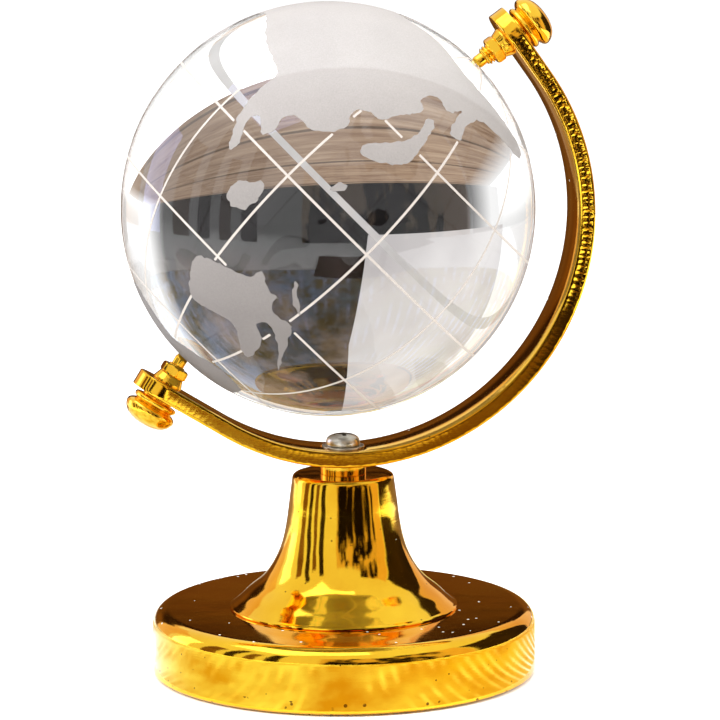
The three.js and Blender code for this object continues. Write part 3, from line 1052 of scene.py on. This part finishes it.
def clouded(name, scale, detail, low, high):
    """A glowing material of two colours in soft patches."""
    return emissive(name, lambda n: n.mix(n.noise(scale, detail), low + (1,), high + (1,)))


wood = emissive("stage_planks", planks)
dark = emissive("stage_dark_room", dark_room)
board = emissive("stage_pale_board", pale_board)
blotch = emissive("stage_blotches", brown_blotches)
umber = emissive("stage_umber", umber_wall)
paper = emissive("stage_paper", warm_paper)
black = clouded("stage_black", 8, 3, (0.01, 0.008, 0.006), (0.06, 0.036, 0.02))
brown = clouded("stage_brown", 9, 3, (0.10, 0.05, 0.02), (0.34, 0.18, 0.09))
lamp = clouded("stage_lamp", 6, 2, (1.5, 1.5, 1.8), (3.4, 3.6, 6.0))
orange = clouded("stage_orange", 5, 3, (0.75, 0.42, 0.22), (1.1, 0.85, 0.6))

# Flat cards, as corners in pairs along each card.
for name, corners, material, glossy, through in (
    ("wood_card", [(-140, SHELF_NEAR, SHELF_HEIGHT), (470, SHELF_NEAR, SHELF_HEIGHT),
                   (-140, ROOM_DEPTH, SHELF_HEIGHT), (470, ROOM_DEPTH, SHELF_HEIGHT)], wood, True, True),
    ("room_low", [(-165, ROOM_DEPTH, 0), (480, ROOM_DEPTH, 0),
                  (-165, ROOM_DEPTH, ROOM_SPLIT), (480, ROOM_DEPTH, ROOM_SPLIT)], dark, False, True),
    ("room_high", [(-165, ROOM_DEPTH, ROOM_SPLIT), (480, ROOM_DEPTH, ROOM_SPLIT),
                   (-150, ROOM_DEPTH, 620), (380, ROOM_DEPTH, 620)], dark, False, True),
    ("pale_card", [(-175, 296, 50), (24, 296, 44), (-180, 296, 160), (36, 296, 160),
                   (-160, 296, 640), (20, 296, 640)], board, False, True),
    ("room_mirror", [(-130, 301, 0), (190, 301, 0), (-130, 301, 160), (190, 301, 160)], umber, True, False),
    ("soft_sky", [(-380, -260, 520), (60, -260, 520), (-380, 190, 540), (60, 190, 540)], lamp, True, False),
    ("front_shade", [(36, -700, 0.5), (420, -700, 0.5), (40, -240, 0.5), (260, -240, 0.5)],
     black, True, False),
    ("front_brown", [(-70, -240, 0.5), (110, -240, 0.5), (-50, -140, 0.5), (90, -140, 0.5)],
     brown, True, False),
):
    card(name, corners, material, glossy, through)

# What the pedestal and the bow mirror: bearings, height and distance of each upright card.
for index, (low, high, top, radius, material) in enumerate((
    (-74, -66, 420, 420, black), (-60, -53, 300, 420, brown), (-47, -38, 380, 420, black),
    (-14, 34, 330, 430, blotch), (34, 64, 420, 440, blotch), (64, 82, 400, 430, orange),
    (84, 140, 360, 430, black), (140, 172, 300, 420, orange), (-176, -150, 240, 430, orange),
    (-150, -126, 300, 428, orange), (-120, -103, 260, 415, lamp), (-92, -80, 300, 425, brown),
)):
    curved_card(f"mirror_card_{index}", low, high, top, radius, material)

paper_ring = []
for step in range(73):
    a = math.radians(step * 5)
    for radius in (PAPER_NEAR, PAPER_FAR):
        paper_ring.append((radius * math.cos(a), radius * math.sin(a), PAPER_HEIGHT))
card("paper_card", paper_ring, paper, True, False)

floor_mesh = bpy.data.meshes.new("floor")
bm = bmesh.new()
bmesh.ops.create_grid(bm, x_segments=8, y_segments=8, size=4.0)
bm.to_mesh(floor_mesh)
bm.free()
floor = add_object("floor", floor_mesh)
n = Nodes("floor_white")
tone = n.mix(n.noise(3, 3), (0.93, 0.93, 0.925, 1), (0.95, 0.95, 0.945, 1))
floor_mesh.materials.append(n.shade(Base_Color=tone, Roughness=0.9, Specular_IOR_Level=0.1))
floor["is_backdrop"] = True

world = bpy.data.worlds.new("studio")
bpy.context.scene.world = world
world.use_nodes = True
background = world.node_tree.nodes["Background"]
background.inputs["Color"].default_value = (1.0, 1.0, 1.0, 1)
background.inputs["Strength"].default_value = 1.0


def soft_light(name, at, aim, size, power):
    """An area light that neither the gold nor the crystal shows."""
    light = bpy.data.lights.new(name, "AREA")
    light.shape = "RECTANGLE"
    light.size = size[0] * MM
    light.size_y = size[1] * MM
    light.energy = power
    obj = add_object(name, light)
    obj.location = Vector(at) * MM
    obj.rotation_euler = (Vector(aim) - Vector(at)).to_track_quat("-Z", "Y").to_euler()
    obj.visible_transmission = False
    obj.visible_glossy = False


soft_light("key_left", (-420, -260, 420), (0, 0, 45), (300, 300), 3.5)
soft_light("fill_right", (520, -120, 300), (0, 0, 40), (240, 320), 2.0)
soft_light("top_soft", (0, 40, 620), (0, 0, 30), (420, 420), 3.0)

camera_data = bpy.data.cameras.new("camera")
camera_data.lens = CAMERA_LENS
camera_data.sensor_width = 36
camera_data.clip_start = 0.01
camera_data.clip_end = 20
camera = add_object("camera", camera_data)
look = (CAMERA_AIM - CAMERA_AT).to_track_quat("-Z", "Y")
camera.rotation_mode = "QUATERNION"
camera.rotation_quaternion = look @ Quaternion((0, 0, 1), math.radians(CAMERA_ROLL))
camera.location = CAMERA_AT
bpy.context.scene.camera = camera
bpy.context.scene.view_settings.view_transform = "Standard"

plain = [[list(map(float, corner)) for corner in box] for box in (cad_box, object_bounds())]
